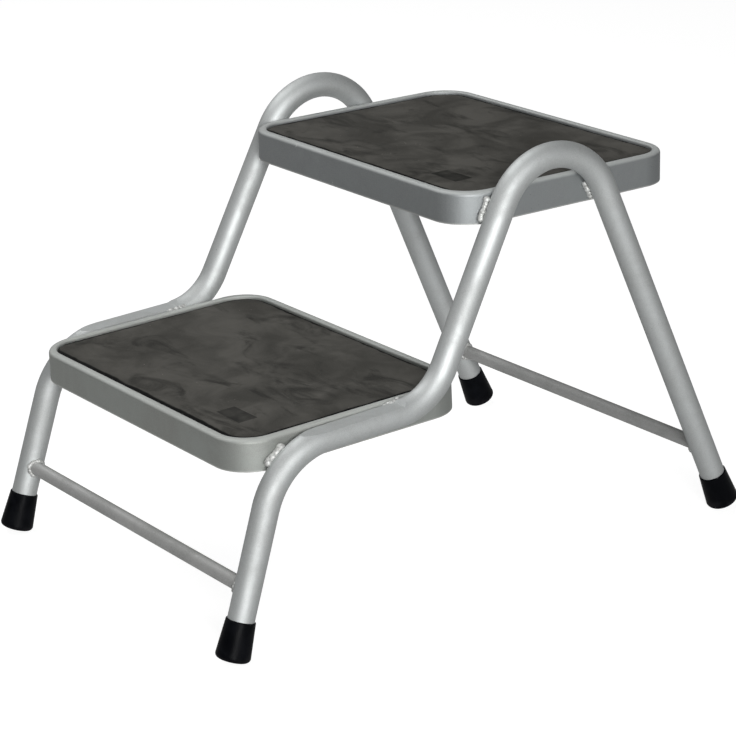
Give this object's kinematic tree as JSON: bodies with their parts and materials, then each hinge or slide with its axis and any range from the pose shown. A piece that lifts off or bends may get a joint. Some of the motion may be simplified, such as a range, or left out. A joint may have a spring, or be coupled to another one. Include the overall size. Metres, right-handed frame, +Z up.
{
  "type": "two-tread caravan entry step",
  "caption": "Free-standing caravan entry step: bent steel tube side frames with hand loops, pressed treads with rubber mats, thin crossbars and rubber feet.",
  "frame": {"origin": "on the floor, at the middle of the overall box seen from above", "axes": "+X is the climber's right, +Y is the way the climber faces, from the lower tread to the upper one, +Z is up"},
  "size_m": [0.4272, 0.6177, 0.4103],
  "materials": {
    "frame_steel": "satin silver paint",
    "tread_steel": "satin silver paint",
    "crossbar_steel": "satin silver paint",
    "weld_steel": "painted weld bead",
    "mat_rubber": "matte, dusty",
    "foot_rubber": "matte"
  },
  "bodies": {
    "root": {"side_frame_left": "frame_steel", "side_frame_right": "frame_steel", "lower_tread": "tread_steel", "upper_tread": "tread_steel", "lower_mat": "mat_rubber", "upper_mat": "mat_rubber", "front_crossbar": "crossbar_steel", "rear_crossbar": "crossbar_steel", "foot_front_left": "foot_rubber", "foot_front_right": "foot_rubber", "foot_rear_left": "foot_rubber", "foot_rear_right": "foot_rubber", "weld_lower_left": "weld_steel", "weld_lower_right": "weld_steel", "weld_upper_left": "weld_steel", "weld_upper_right": "weld_steel", "weld_front_crossbar": "weld_steel", "weld_rear_crossbar": "weld_steel"}
  },
  "joints": []
}
